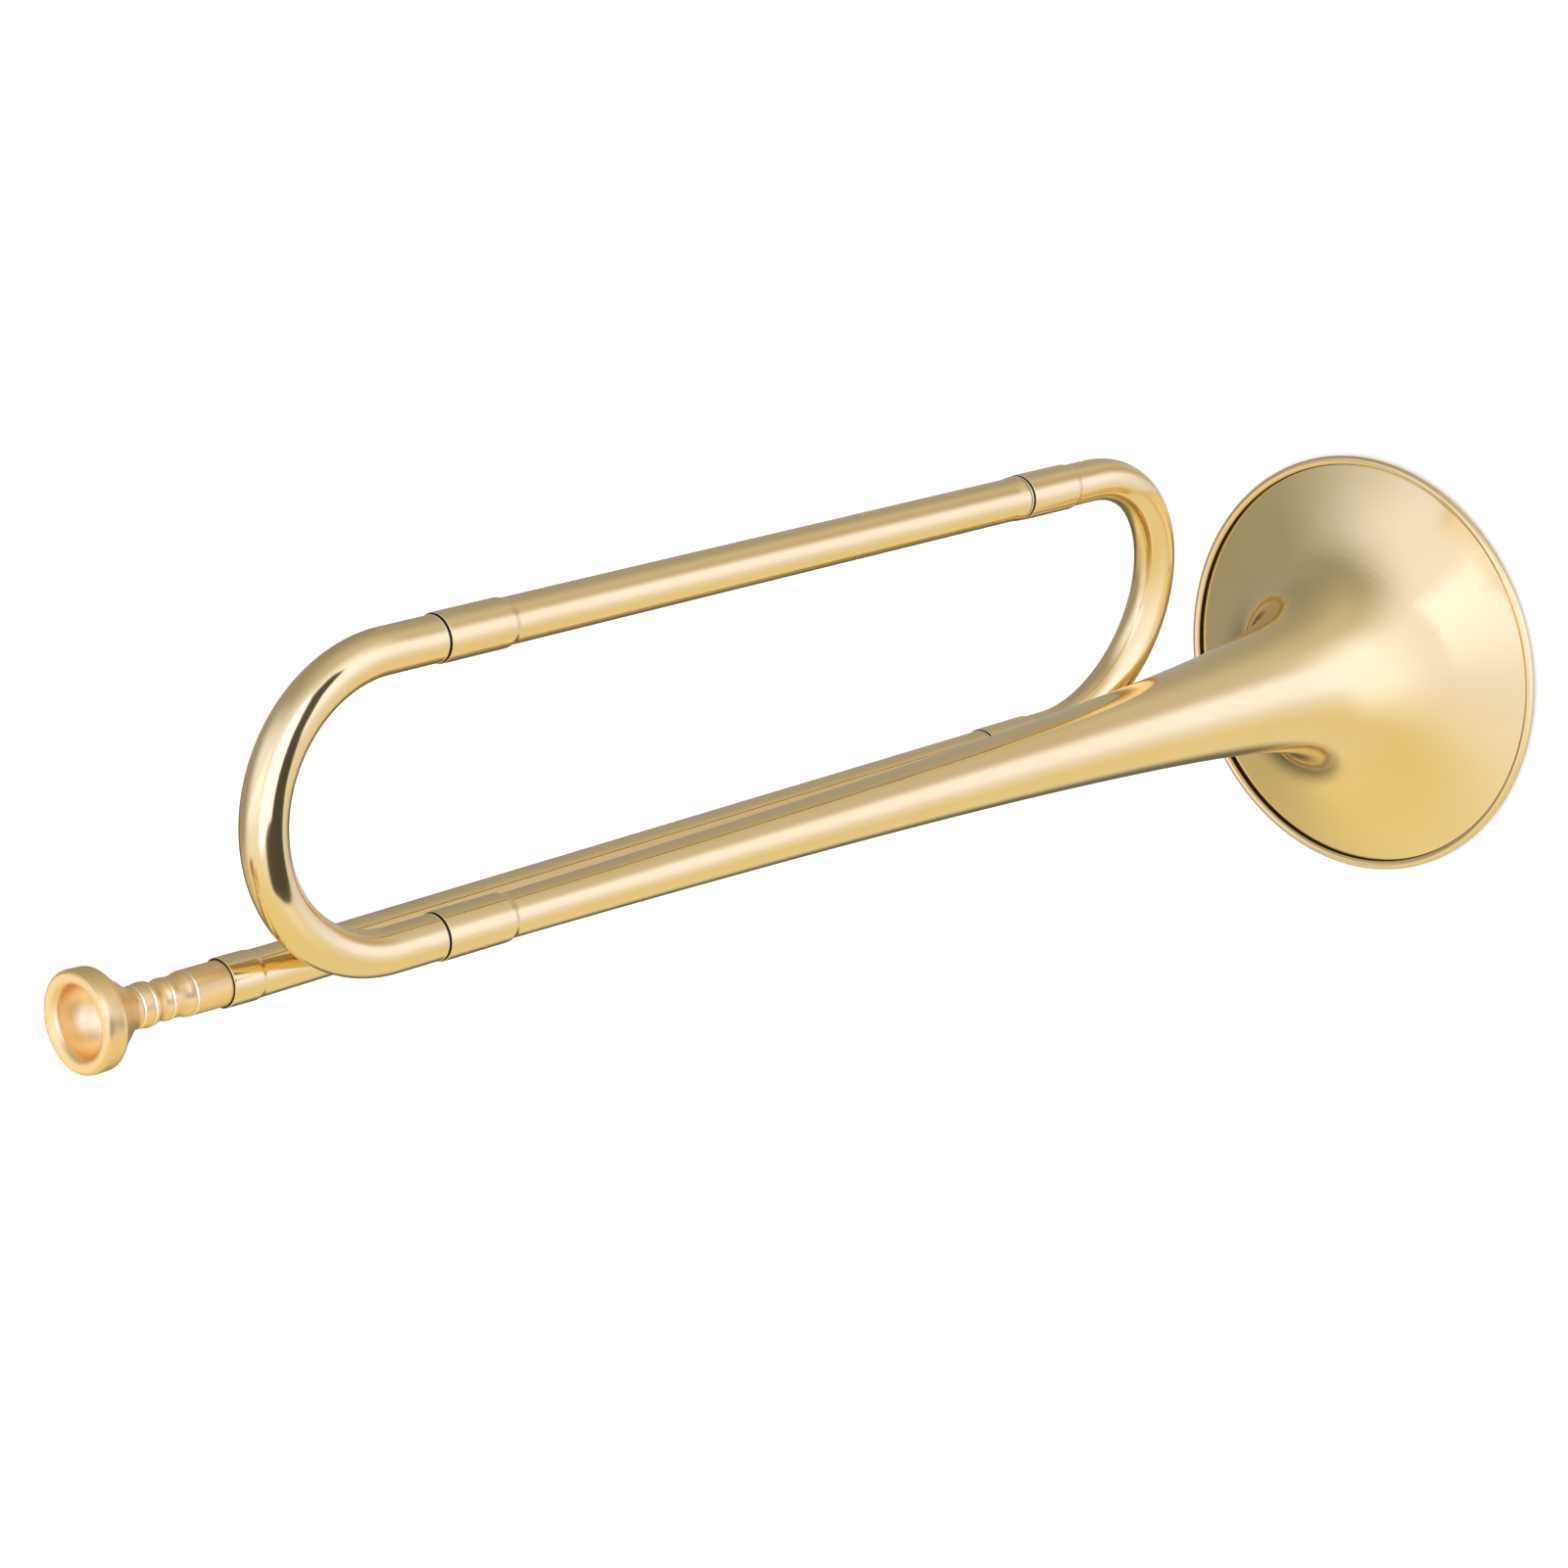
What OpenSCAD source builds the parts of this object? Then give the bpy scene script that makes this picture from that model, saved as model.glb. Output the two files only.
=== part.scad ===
// Natural bugle with one loop, standing on the mouth of its bell.
// The origin is the centre of the bell's mouth on the resting plane, +Z runs up the bell's axis
// towards the mouthpiece, and the loop lies on the +X side. Lengths are in millimetres.

/* [Bell] */
// Outer diameter of the bell over its rolled bead
bell_d = 138; // [124:1:150]
// Height of the socket's open end above the bell's mouth
stem_h = 398; // [385:1:430]
// Thickness of the sheet the bell is spun from
bell_wall = 0.45; // [0.4:0.05:0.5]
// Length over which the slender part of the stem grows
stem_growth = 139.6; // [120:1:150]
// How quickly the mouth of the bell opens
flare_power = 12.84; // [11:0.1:15]
// Outer diameter of the rolled bead around the rim
bead_d = 2.7; // [2.4:0.1:3]
// Diameter of the wire inside the bead
rim_wire_d = 1.7; // [1.2:0.1:1.7]

/* [Tubing] */
// Outer diameter of the tube
tube_d = 12.7; // [11.9:0.1:12.8]
// Wall of the tube
tube_wall = 0.45; // [0.4:0.05:0.6]
// Spacing of the bell's stem and the middle tube
loop_w = 80.3; // [70:0.1:90]
// Lean of the lead pipe, the middle tube and the far bow past the bell
lean = 1.461; // [1.4:0.01:1.6]
// Distance of the lead pipe behind the stem where the near bow starts
pipe_back = 13.15; // [13.1:0.05:14]
// Sideways distance of the lead pipe from the stem's axis
pipe_side = -1; // [-3:0.1:0]
// Height at which both legs of the near bow start to turn
near_bow_z = 413; // [410:1:418]
// Bend radius of the small elbow that turns the near bow's upper leg into the lean
elbow_r = 120; // [60:10:200]
// Height at which both legs of the far bow start to turn
far_bow_z = 132; // [128:1:136]
// Height of the far bow's socket for the lead pipe
far_low_z = 163; // [160:1:168]
// Height of the far bow's socket for the middle tube
far_top_z = 164.5; // [160:0.5:168]
// Height of the middle tube's own socket for the near bow
mid_socket_z = 396; // [390:1:400]

/* [Swaged joints] */
// Length of a socket that is widened into a tube's end
socket_l = 22; // [18:1:24]
// Length of a socket of the far bow
far_socket_l = 20; // [18:1:22]
// Length of the shoulder from socket to tube
shoulder_l = 2.5; // [2:0.1:4]
// How far a tube reaches into a socket
insert_l = 18; // [14:1:20]
// Radial room between tube and socket
lap_gap = 0.03; // [0.02:0.01:0.05]
// Depth of the solder bead in a socket's mouth
solder_h = 0.5; // [0.3:0.1:0.8]

/* [Receiver and mouthpiece] */
// Height at which the lead pipe turns slightly towards its receiver
kick_z = 446; // [440:1:450]
// Turn of the receiver away from the lead pipe's own line
kick = 1.22; // [0:0.01:2.5]
// Distance from that turn to the receiver's open end
receiver_l = 13.3; // [12:0.1:16]
// Outer radius of the receiver
receiver_r = 6.7; // [6.6:0.05:7]
// Radius of the receiver's bore
receiver_bore_r = 6.1; // [6.05:0.01:6.2]
// Radius of the shank where it enters the receiver
shank_r = 6.05; // [5.9:0.01:6.05]
// Radius of the shank at its small end
shank_end_r = 5.45; // [5.2:0.01:5.5]
// Length of shank inside the receiver and pipe
shank_in = 24; // [18:1:30]
// Length of mouthpiece that stays in sight
mp_out = 45.2; // [40:0.1:50]
// Outer diameter of the mouthpiece rim
mp_rim_d = 27; // [25:0.1:28]
// Diameter of the cup between the rim's inner edges
cup_d = 18.4; // [15:0.1:19]
// Depth of the cup
cup_depth = 11; // [9:0.1:12]
// Diameter of the throat
throat_d = 4; // [3.5:0.1:4.6]

/* [Output] */
// Piece to draw

/* [Hidden] */
tube_r = tube_d / 2;
bow_r = tube_r - 0.02;                    // drawn tube of the bows
bore_r = tube_r - tube_wall;
socket_r = tube_r + lap_gap;              // bore of a socket
socket_out = socket_r + tube_wall;
bead_r = bead_d / 2;
bead_z = bead_r - 0.05;                   // leaves a narrow flat ring to rest on
bead_c = bell_d / 2 - bead_r;             // radius of the ring the bead is rolled around
curl_r = bead_r - bell_wall + 0.05;       // inside of the curl
throat_r = 4.855;                         // radius the stem would shrink to
body_r = 19.855;                          // growth of the stem
mouth_r = bead_c - throat_r - body_r - 0.15;
flare_reach = 157;
stem_shoulder_z = stem_h - socket_l - shoulder_l;
brass = [0.86, 0.72, 0.42];
rose = [0.89, 0.71, 0.50];
tin = [0.74, 0.70, 0.58];
steel = [0.62, 0.60, 0.56];
turn_fn = 96;
eps = 0.01;
bent = 0.02;                              // bent lengths are drawn this much thinner

// Outer radius of the bell at height z above the sheet's front edge.
function bell_r(z) = throat_r + body_r * exp(-z / stem_growth)
                     + mouth_r * pow(1 + z / flare_reach, -flare_power);
function bell_slope(z) = (bell_r(z + 0.01) - bell_r(z)) / 0.01;
// Point on the back of the sheet, and the same point moved to its inside along the normal.
function back_at(z) = [bell_r(z), z + bell_wall];
function inside_at(z) = let (s = bell_slope(z), n = sqrt(1 + s * s))
    [bell_r(z) - bell_wall / n, z + bell_wall + bell_wall * s / n];
// Heights closer together near the mouth, where the profile turns.
steps = 60;
stem_z = [for (i = [0:steps]) (stem_shoulder_z - bell_wall) * pow(i / steps, 2.6)];

module turned() rotate_extrude($fn = turn_fn) children();

// Ring-shaped section, or any flat pair of radii between two heights.
module sleeve(r_out, r_in, z0, z1)
    translate([0, 0, z0])
        rotate_extrude($fn = 64) translate([r_in, 0]) square([r_out - r_in, z1 - z0]);

// Outside of a straight tube with a socket at its top; grow adds to every radius.
module socket_outside(z_low, z_open, l)
    rotate_extrude($fn = 64) polygon([
        [0, z_low], [tube_r, z_low], [tube_r, z_open - l - shoulder_l], [socket_out, z_open - l],
        [socket_out, z_open - 0.12], [socket_out - 0.12, z_open], [0, z_open]]);

module socket_inside(z_low, z_open, l)
    rotate_extrude($fn = 64) polygon([
        [0, z_low - 1], [bore_r, z_low - 1], [bore_r, z_open - l - shoulder_l],
        [socket_r, z_open - l], [socket_r, z_open - solder_h], [socket_r + 0.28, z_open],
        [socket_r + 0.28, z_open + 1], [0, z_open + 1]]);

// Fillet of solder that fills the flared mouth of a socket around the tube in it.
module solder_ring(z_open, drop = 0.08)
    rotate_extrude($fn = 64) polygon([
        [tube_r + 0.005, z_open - solder_h + 0.03], [socket_r - 0.003, z_open - solder_h + 0.03],
        [socket_r + 0.28 * (1 - drop / solder_h) - 0.02, z_open - drop],
        [tube_r + 0.005, z_open - drop]]);

// Everything beyond the near bow leans by the same small angle, from the elbow on.
elbow_t = elbow_r * tan(lean / 2);
elbow_z = near_bow_z - 0.5;
lean_z = elbow_z - elbow_t;
module leaning()
    translate([0, 0, lean_z]) rotate([lean, 0, 0]) translate([0, 0, -lean_z]) children();

module on_pipe_line() leaning() translate([pipe_side, pipe_back, 0]) children();
module on_mid_line() leaning() translate([loop_w, 0, 0]) children();
module on_receiver_line() on_pipe_line() translate([0, 0, kick_z]) rotate([0, kick, 0]) children();

module bell() color(brass) difference() {
    turned() {
        polygon(concat(
            [[bead_c, 0], [bead_c, bell_wall]],
            [for (z = stem_z) back_at(z)],
            [[socket_out, stem_h - socket_l], [socket_out, stem_h - 0.12], [socket_out - 0.12, stem_h],
             [socket_r + 0.28, stem_h], [socket_r, stem_h - solder_h], [socket_r, stem_h - socket_l],
             [bell_r(stem_shoulder_z) - bell_wall, stem_shoulder_z]],
            [for (i = [steps:-1:1]) inside_at(stem_z[i])],
            [[inside_at(0)[0] - 0.4, 0.02], [bead_c - 1.1, 0]]));
        // the edge of the sheet, curled back over the wire
        difference() {
            translate([bead_c, bead_z]) circle(r = bead_r, $fn = 48);
            translate([bead_c, bead_z]) circle(r = curl_r, $fn = 48);
            translate([0, -1]) square([200, 1]);
            translate([bead_c - bead_r - 0.2, bell_wall + 0.05]) square([0.75, 0.26]);
        }
    }
}

module rim_wire() color(steel)
    turned() translate([bead_c, bead_z]) circle(d = rim_wire_d, $fn = 32);

module bow_arc(radius, r) rotate([90, 0, 0])
    rotate_extrude(angle = 180, $fn = turn_fn * 2) translate([radius, 0]) circle(r = r, $fn = 64);

// Near bow: one leg in the bell's socket, one in the middle tube's socket. The bent lengths are
// drawn a hair thinner than the straight ones, which reach over their ends.
module near_bow_body(r, extra) {
    translate([loop_w / 2, 0, near_bow_z]) bow_arc(loop_w / 2, r - bent);
    translate([0, 0, stem_h - insert_l - extra])
        cylinder(r = r, h = near_bow_z - stem_h + insert_l + extra + 0.6, $fn = 64);
    translate([loop_w, 0, elbow_z - 0.3]) cylinder(r = r, h = 1.4, $fn = 64);
    translate([loop_w, elbow_r, elbow_z]) rotate([-90, 0, 0]) rotate([0, 90, 0])
        rotate_extrude(angle = lean, $fn = 720)
            translate([elbow_r, 0]) circle(r = r - bent, $fn = 64);
    on_mid_line() translate([0, 0, mid_socket_z - insert_l - extra])
        cylinder(r = r, h = lean_z - elbow_t - mid_socket_z + insert_l + extra + 0.3, $fn = 64);
}

module near_bow() color(brass) difference() {
    near_bow_body(bow_r, 0);
    near_bow_body(bow_r - tube_wall, 1);
}

module mid_tube() color(brass) on_mid_line() difference() {
    socket_outside(far_top_z - insert_l, mid_socket_z, socket_l);
    socket_inside(far_top_z - insert_l, mid_socket_z, socket_l);
}

// Far bow in its own plane, from the lead pipe's line to the middle tube's line.
far_dx = loop_w - pipe_side;
far_span = sqrt(far_dx * far_dx + pipe_back * pipe_back);
far_turn = atan2(-pipe_back, far_dx);

module in_far_plane()
    on_pipe_line() rotate([0, 0, far_turn]) children();

module far_leg(z_open, r_tube, r_socket, r_mouth, extra)
    translate([0, 0, far_bow_z]) rotate_extrude($fn = 64) polygon([
        [0, -0.6], [r_tube, -0.6], [r_tube, z_open - far_socket_l - shoulder_l - far_bow_z],
        [r_socket, z_open - far_socket_l - far_bow_z], [r_socket, z_open - solder_h - far_bow_z],
        [r_mouth, z_open + extra - far_bow_z], [0, z_open + extra - far_bow_z]]);

module far_bow_body(r_tube, r_socket, r_mouth, extra) {
    translate([far_span / 2, 0, far_bow_z]) rotate([180, 0, 0]) bow_arc(far_span / 2, r_tube - bent);
    far_leg(far_low_z, r_tube, r_socket, r_mouth, extra);
    translate([far_span, 0, 0]) far_leg(far_top_z, r_tube, r_socket, r_mouth, extra);
}

module far_bow() color(brass) in_far_plane() difference() {
    far_bow_body(bow_r, socket_out, socket_out, 0);
    far_bow_body(bow_r - tube_wall, socket_r, socket_r + 0.28, 0.001);
}

// Lead pipe with the receiver widened into its outer end. The receiver's own length covers the
// end of the straight pipe where the line turns.
cover = 0.06;
module lead_pipe() color(brass) difference() {
    union() {
        on_pipe_line() translate([0, 0, far_low_z - insert_l])
            cylinder(r = tube_r, h = kick_z - far_low_z + insert_l + 0.1, $fn = 64);
        on_receiver_line() rotate_extrude($fn = 64) polygon([
            [0, -0.6], [tube_r + cover, -0.6], [tube_r + cover, 2.5], [receiver_r, 4.2],
            [receiver_r, receiver_l - 0.3], [receiver_r - 0.3, receiver_l], [0, receiver_l]]);
    }
    on_pipe_line() translate([0, 0, far_low_z - insert_l - 1])
        cylinder(r = bore_r, h = kick_z - far_low_z + insert_l + 1.2, $fn = 64);
    on_receiver_line() rotate_extrude($fn = 64) polygon([
        [0, -0.45], [bore_r + cover, -0.45], [bore_r + cover, 2.5], [receiver_bore_r, 4.2],
        [receiver_bore_r, receiver_l + 1], [0, receiver_l + 1]]);
}

// Mouthpiece outline, measured from the face of the rim down to the end of the shank.
mp_r = mp_rim_d / 2;
cup_r = cup_d / 2;
mp_total = mp_out + shank_in;
outline = [
    [mp_r - 1.5, 0], [mp_r - 0.9, 0.12], [mp_r - 0.45, 0.4], [mp_r - 0.15, 0.9], [mp_r, 1.8],
    [mp_r - 0.05, 4.0], [mp_r - 0.15, 5.8], [mp_r - 0.7, 6.8], [mp_r - 1.9, 8.0],
    [mp_r - 3.65, 10.0], [mp_r - 5.1, 12.0], [mp_r - 6.7, 14.0], [mp_r - 7.6, 15.4],
    [mp_r - 7.95, 16.4], [5.55, 17.1], [5.3, 17.4], [5.62, 17.7], [5.75, 19.0], [5.9, 20.4],
    [5.65, 20.75], [5.95, 21.1], [5.85, 22.0], [5.45, 22.9], [5.15, 23.8], [5.1, 24.6],
    [5.22, 25.4], [5.5, 26.2], [5.55, 26.5], [5.3, 26.8], [5.58, 27.1], [5.5, 28.2],
    [5.35, 29.2], [5.4, 30.6], [5.6, 31.6], [5.85, 32.4], [6.0, 33.35], [5.75, 33.7],
    [6.05, 34.05], [shank_r, 35.5], [shank_r, mp_out + 9.2], [bore_r - 0.08, mp_out + 11],
    [shank_end_r, mp_total]];
// Inside: rounded rim, bowl of the cup, throat, and the backbore that opens to the shank's end.
bite = [[mp_r - 2.3, 0.02], [cup_r + 1.3, 0.28], [cup_r + 0.75, 0.65], [cup_r + 0.3, 1.2],
        [cup_r, 2]];
cup = [for (i = [1:9]) let (a = i * 9.2)
    [throat_d / 2 + (cup_r - throat_d / 2) * cos(a), 2 + (cup_depth - 2) * sin(a) / sin(82.8)]];
backbore = [[throat_d / 2, cup_depth + 1.2], [throat_d / 2, cup_depth + 4],
            [throat_d / 2 + 0.6, cup_depth + 14], [shank_end_r - 0.8, mp_total]];

module mouthpiece() color(rose) on_receiver_line()
    translate([0, 0, receiver_l + mp_out]) mirror([0, 0, 1])
        rotate_extrude($fn = turn_fn)
            polygon(concat(bite, cup, backbore, [for (i = [len(outline) - 1:-1:0]) outline[i]]));

module solder_near_low() color(tin) solder_ring(stem_h);
module solder_near_top() color(tin) on_mid_line() solder_ring(mid_socket_z);
module solder_far_top() color(tin) on_mid_line() solder_ring(far_top_z);
module solder_far_low() color(tin) on_pipe_line() solder_ring(far_low_z);

// Pads of solder in the groove between the lead pipe and the tubes it rests on.
module pad(z_mid, l, w, y0, y1) translate([-w / 2 - 0.5, y0, z_mid - l / 2]) cube([w, y1 - y0, l]);

module solder_pad_near() color(tin) difference() {
    pad(near_bow_z - 7.5, 9, 6, bow_r - 0.9, bow_r + 1.6);
    translate([0, 0, stem_h - 2]) cylinder(r = bow_r + 0.01, h = 30, $fn = 96);
    on_pipe_line() translate([0, 0, stem_h - 2]) cylinder(r = tube_r + 0.01, h = 30, $fn = 96);
}

module solder_pad_far() color(tin) difference() {
    pad(136, 8, 6, 11.4, 13.9);
    turned() polygon(concat([[0, 400], [0, bell_wall]],
        [for (z = stem_z) [bell_r(z) + 0.01, z + bell_wall]]));
    in_far_plane() translate([0, 0, far_bow_z - eps]) cylinder(r = bow_r + 0.01, h = 30, $fn = 96);
}

bell();
rim_wire();
near_bow();
mid_tube();
far_bow();
lead_pipe();
mouthpiece();
solder_near_low();
solder_near_top();
solder_far_top();
solder_far_low();
solder_pad_near();
solder_pad_far();
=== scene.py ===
"""Valveless bugle with one loop: builds its visible pieces around the CAD frame and lights it."""

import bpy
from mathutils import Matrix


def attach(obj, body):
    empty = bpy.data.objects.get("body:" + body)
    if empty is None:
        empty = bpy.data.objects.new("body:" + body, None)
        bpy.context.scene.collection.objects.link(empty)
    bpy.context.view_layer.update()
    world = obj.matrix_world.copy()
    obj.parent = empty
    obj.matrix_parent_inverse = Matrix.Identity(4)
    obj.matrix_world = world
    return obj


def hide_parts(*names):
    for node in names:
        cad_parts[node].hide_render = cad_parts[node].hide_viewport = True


bl_info = {
    "name": "Natural Bugle",
    "version": (1, 0, 0),
    "blender": (4, 5, 0),
    "location": "3D View > Sidebar > Bugle",
    "description": "Builds a one-loop brass bugle with its mouthpiece, materials and a studio",
    "category": "Add Mesh",
}

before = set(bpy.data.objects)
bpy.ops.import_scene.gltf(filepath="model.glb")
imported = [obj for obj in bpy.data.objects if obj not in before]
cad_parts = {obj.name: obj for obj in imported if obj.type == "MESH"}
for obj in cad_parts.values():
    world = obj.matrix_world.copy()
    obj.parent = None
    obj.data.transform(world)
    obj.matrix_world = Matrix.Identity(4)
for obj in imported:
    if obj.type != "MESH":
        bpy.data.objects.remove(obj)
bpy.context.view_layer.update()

import math

import bmesh
import bpy
from bpy.props import FloatProperty, FloatVectorProperty, IntProperty, PointerProperty
from mathutils import Matrix, Vector

MM = 0.001

# Fits and small lengths that several pieces share.
SLIP = 0.03 * MM  # gap around a tube in its socket
BEND_DRAW = 0.02 * MM  # taken off a tube's radius by bending
LIP_ROUND = 0.2 * MM  # rounding of an open tube end
HOLD = 0.12 * MM  # from a corner of a long straight span to its extra row
CORNER = math.radians(2)  # least turn of an outline that counts as a corner
BOW_END = 0.5 * MM  # straight end of a bow before the next part
PAINTED_SHADE_END = 0.55 * MM  # tube past a socket's open end that carries painted shade
PAINTED_SHADE_FADE = 0.04 * MM  # length in which the painted shade stops
SOLDER_GAP = 0.60 * MM  # bare tube between a socket's open end and its bead of solder

# Divisions along the pieces.
BELL_STEPS = 120
RIM_STEPS = 32
BOW_STEPS = 96
ELBOW_STEPS = 8
SHOULDER_STEPS = 8
LIP_STEPS = 5
CUP_STEPS = 14
MOUTHPIECE_SEGMENTS = 160
SOLDER_ROWS = 16

# The stem swells from the throat's radius, and the flare opens over its own length.
THROAT = 4.855 * MM
SWELL = 19.855 * MM
FLARE_LENGTH = 0.157

RECEIVER_OUT = 6.7 * MM
RECEIVER_IN = 6.1 * MM

# Colours of the metal's marks: tarnish specks, painted shade in the joints' gaps and the bell's
# crease, and a painted highlight on the mouthpiece's turned lines.
SPECK = (0.36, 0.24, 0.10)
# Painted shade: the dark of the gaps at the joints and of the crease behind the bell's bead.
PAINTED_SHADE = (0.030, 0.021, 0.011)
# Painted highlight: the pale shine of the mouthpiece's turned lines and cup.
PAINTED_HIGHLIGHT = (0.97, 0.82, 0.56)

# Colours that the metal reflects, from the camera's left to its right.
TAN_LEFT, TAN_RIGHT, TAN_TOP = (0.385, 0.385, 0.375), (0.70, 0.69, 0.68), (0.30, 0.29, 0.28)
GOLD_EDGE, GOLD_LEFT, GOLD_RIGHT = (0.48, 0.44, 0.36), (0.90, 0.82, 0.52), (0.90, 0.83, 0.63)
WHITE_LEFT, WHITE_MID = (1.07, 1.14, 1.60), (1.30, 1.40, 2.00)
WHITE_RIGHT, WHITE_END = (1.18, 1.27, 1.86), (0.82, 0.84, 1.10)
WEDGE = (1.40, 1.48, 2.15)
ROSY = (0.60, 0.51, 0.43)
DARK_EDGE = (0.10, 0.09, 0.07)
ROOM_WHITE = 1.35

# Small boards that only reflections see: where they hang, which way they face, their outlines
# in metres and how far off they are still seen.
GAP_PLACE, GAP_FACING = (0.04, -0.05, 0.45), (0.2, 0.95, 0.2)
GAP_GLOW = (0.085, 0.085, 0.085)
GAP_ACROSS = [
    (-0.150, 0.022), (-0.150, -0.012), (-0.105, -0.020), (-0.075, -0.037), (-0.050, -0.022),
    (-0.025, -0.020), (0.003, -0.031), (0.020, 0.000), (0.003, 0.010), (-0.044, 0.005),
    (-0.084, 0.001),
]
GAP_UPRIGHT = [
    (0.003, -0.031), (0.0156, -0.044), (0.022, -0.056), (0.031, -0.025), (0.041, 0.0),
    (0.050, 0.031), (0.059, 0.050), (0.053, 0.072), (0.047, 0.086), (0.034, 0.0625),
    (0.019, 0.041), (0.006, 0.025), (0.003, 0.010), (0.020, 0.0),
]
BOARD_BEHIND = 0.5 * MM
BOARD_GLOW = (1.35, 1.50, 2.6)
BOARD = [
    (-0.150, 0.024), (-0.084, 0.003), (-0.044, 0.007), (0.003, 0.012), (0.006, 0.027),
    (0.019, 0.043), (0.034, 0.0645), (0.044, 0.085), (0.04, 0.13), (-0.03, 0.15),
    (-0.12, 0.12),
]
LEAF_PLACE, LEAF_FACING = (-0.019, 0.0555, 0.540), (0.32, -0.745, -0.59)
LEAF_GLOW = (1.05, 1.05, 1.20)
LEAF = [(-0.035, -0.03), (0.035, -0.03), (0.035, 0.03), (-0.035, 0.03)]
ACROSS_REACH, UPRIGHT_REACH, BOARD_REACH, LEAF_REACH = 0.078, 0.053, 0.30, 0.08


# ---------------------------------------------------------------- settings


class BugleBellSettings(bpy.types.PropertyGroup):
    """Sizes of the bell."""

    diameter: FloatProperty(
        name="Diameter", description="Over the rolled bead", default=0.138, unit="LENGTH"
    )
    stem_height: FloatProperty(
        name="Stem height", description="Mouth to the open end of the socket", default=0.398,
        unit="LENGTH",
    )
    wall: FloatProperty(
        name="Sheet", description="Thickness of the spun sheet", default=0.00045, unit="LENGTH"
    )
    bead: FloatProperty(
        name="Bead", description="Diameter of the rolled bead", default=0.0027, unit="LENGTH"
    )
    growth: FloatProperty(
        name="Stem growth", description="Length over which the slender part grows",
        default=0.1396, unit="LENGTH",
    )
    flare_power: FloatProperty(
        name="Flare", description="How quickly the mouth opens", default=12.84
    )
    segments: IntProperty(
        name="Segments", description="Divisions around the bell", default=256, min=32
    )


class BugleTubeSettings(bpy.types.PropertyGroup):
    """Sizes of the tubing and its swaged joints."""

    diameter: FloatProperty(
        name="Tube diameter", description="Outside of the tube", default=0.0127, unit="LENGTH"
    )
    wall: FloatProperty(
        name="Tube wall", description="Thickness of the tube", default=0.00045, unit="LENGTH"
    )
    loop_width: FloatProperty(
        name="Loop width", description="Bell's axis to the middle tube's axis",
        default=0.0803, unit="LENGTH",
    )
    lean: FloatProperty(
        name="Lean", description="Lean of pipe, middle tube and far bow past the bell",
        default=math.radians(1.461), unit="ROTATION",
    )
    pipe_back: FloatProperty(
        name="Pipe behind stem", description="Distance of the lead pipe behind the stem",
        default=0.01315, unit="LENGTH",
    )
    pipe_side: FloatProperty(
        name="Pipe aside", description="Sideways distance of the lead pipe from the stem's axis",
        default=-0.001, unit="LENGTH",
    )
    near_bow: FloatProperty(
        name="Near bow starts", description="Height where the near bow turns", default=0.413,
        unit="LENGTH",
    )
    elbow: FloatProperty(
        name="Elbow radius", description="Bend that leads into the lean", default=0.12,
        unit="LENGTH",
    )
    far_bow: FloatProperty(
        name="Far bow starts", description="Height where the far bow turns", default=0.132,
        unit="LENGTH",
    )
    far_low: FloatProperty(
        name="Far low socket", description="Open end of the socket for the lead pipe",
        default=0.163, unit="LENGTH",
    )
    far_top: FloatProperty(
        name="Far top socket", description="Open end of the socket for the middle tube",
        default=0.1645, unit="LENGTH",
    )
    mid_socket: FloatProperty(
        name="Middle socket", description="Open end of the middle tube's socket",
        default=0.396, unit="LENGTH",
    )
    socket: FloatProperty(
        name="Socket length", description="Length of a widened end", default=0.022, unit="LENGTH"
    )
    far_socket: FloatProperty(
        name="Far socket length", description="Length of the far bow's widened ends",
        default=0.020, unit="LENGTH",
    )
    shoulder: FloatProperty(
        name="Shoulder", description="Length from socket to tube", default=0.0025, unit="LENGTH"
    )
    insert: FloatProperty(
        name="Insert", description="How far a tube reaches into a socket", default=0.018,
        unit="LENGTH",
    )
    segments: IntProperty(
        name="Segments", description="Divisions around a tube", default=96, min=16
    )


class BugleMouthpieceSettings(bpy.types.PropertyGroup):
    """Sizes of the receiver and the mouthpiece."""

    kick_height: FloatProperty(
        name="Turn height", description="Where the lead pipe turns to its receiver",
        default=0.446, unit="LENGTH",
    )
    kick: FloatProperty(
        name="Turn", description="Turn of the receiver", default=math.radians(1.22),
        unit="ROTATION",
    )
    receiver: FloatProperty(
        name="Receiver", description="From the turn to the receiver's open end",
        default=0.0133, unit="LENGTH",
    )
    visible: FloatProperty(
        name="Length in sight", description="Mouthpiece outside the receiver", default=0.0452,
        unit="LENGTH",
    )
    shank: FloatProperty(
        name="Shank inside", description="Mouthpiece inside the receiver", default=0.024,
        unit="LENGTH",
    )
    rim: FloatProperty(
        name="Rim diameter", description="Outside of the rim", default=0.027, unit="LENGTH"
    )
    cup: FloatProperty(
        name="Cup diameter", description="Between the rim's inner edges", default=0.0184,
        unit="LENGTH",
    )


class BugleFinishSettings(bpy.types.PropertyGroup):
    """Colours and gloss of the metal."""

    gold: FloatVectorProperty(
        name="Pale gold", description="Lacquered brass where it is palest", subtype="COLOR",
        default=(0.885, 0.685, 0.34), min=0, max=1,
    )
    amber: FloatVectorProperty(
        name="Amber gold", description="Lacquered brass where it is warmest", subtype="COLOR",
        default=(0.855, 0.65, 0.305), min=0, max=1,
    )
    rose: FloatVectorProperty(
        name="Rose brass", description="Turned brass of the mouthpiece", subtype="COLOR",
        default=(0.95, 0.67, 0.285), min=0, max=1,
    )
    gloss: FloatProperty(
        name="Roughness", description="Roughness of the lacquered tubes", default=0.12,
        min=0, max=1, subtype="FACTOR",
    )


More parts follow.
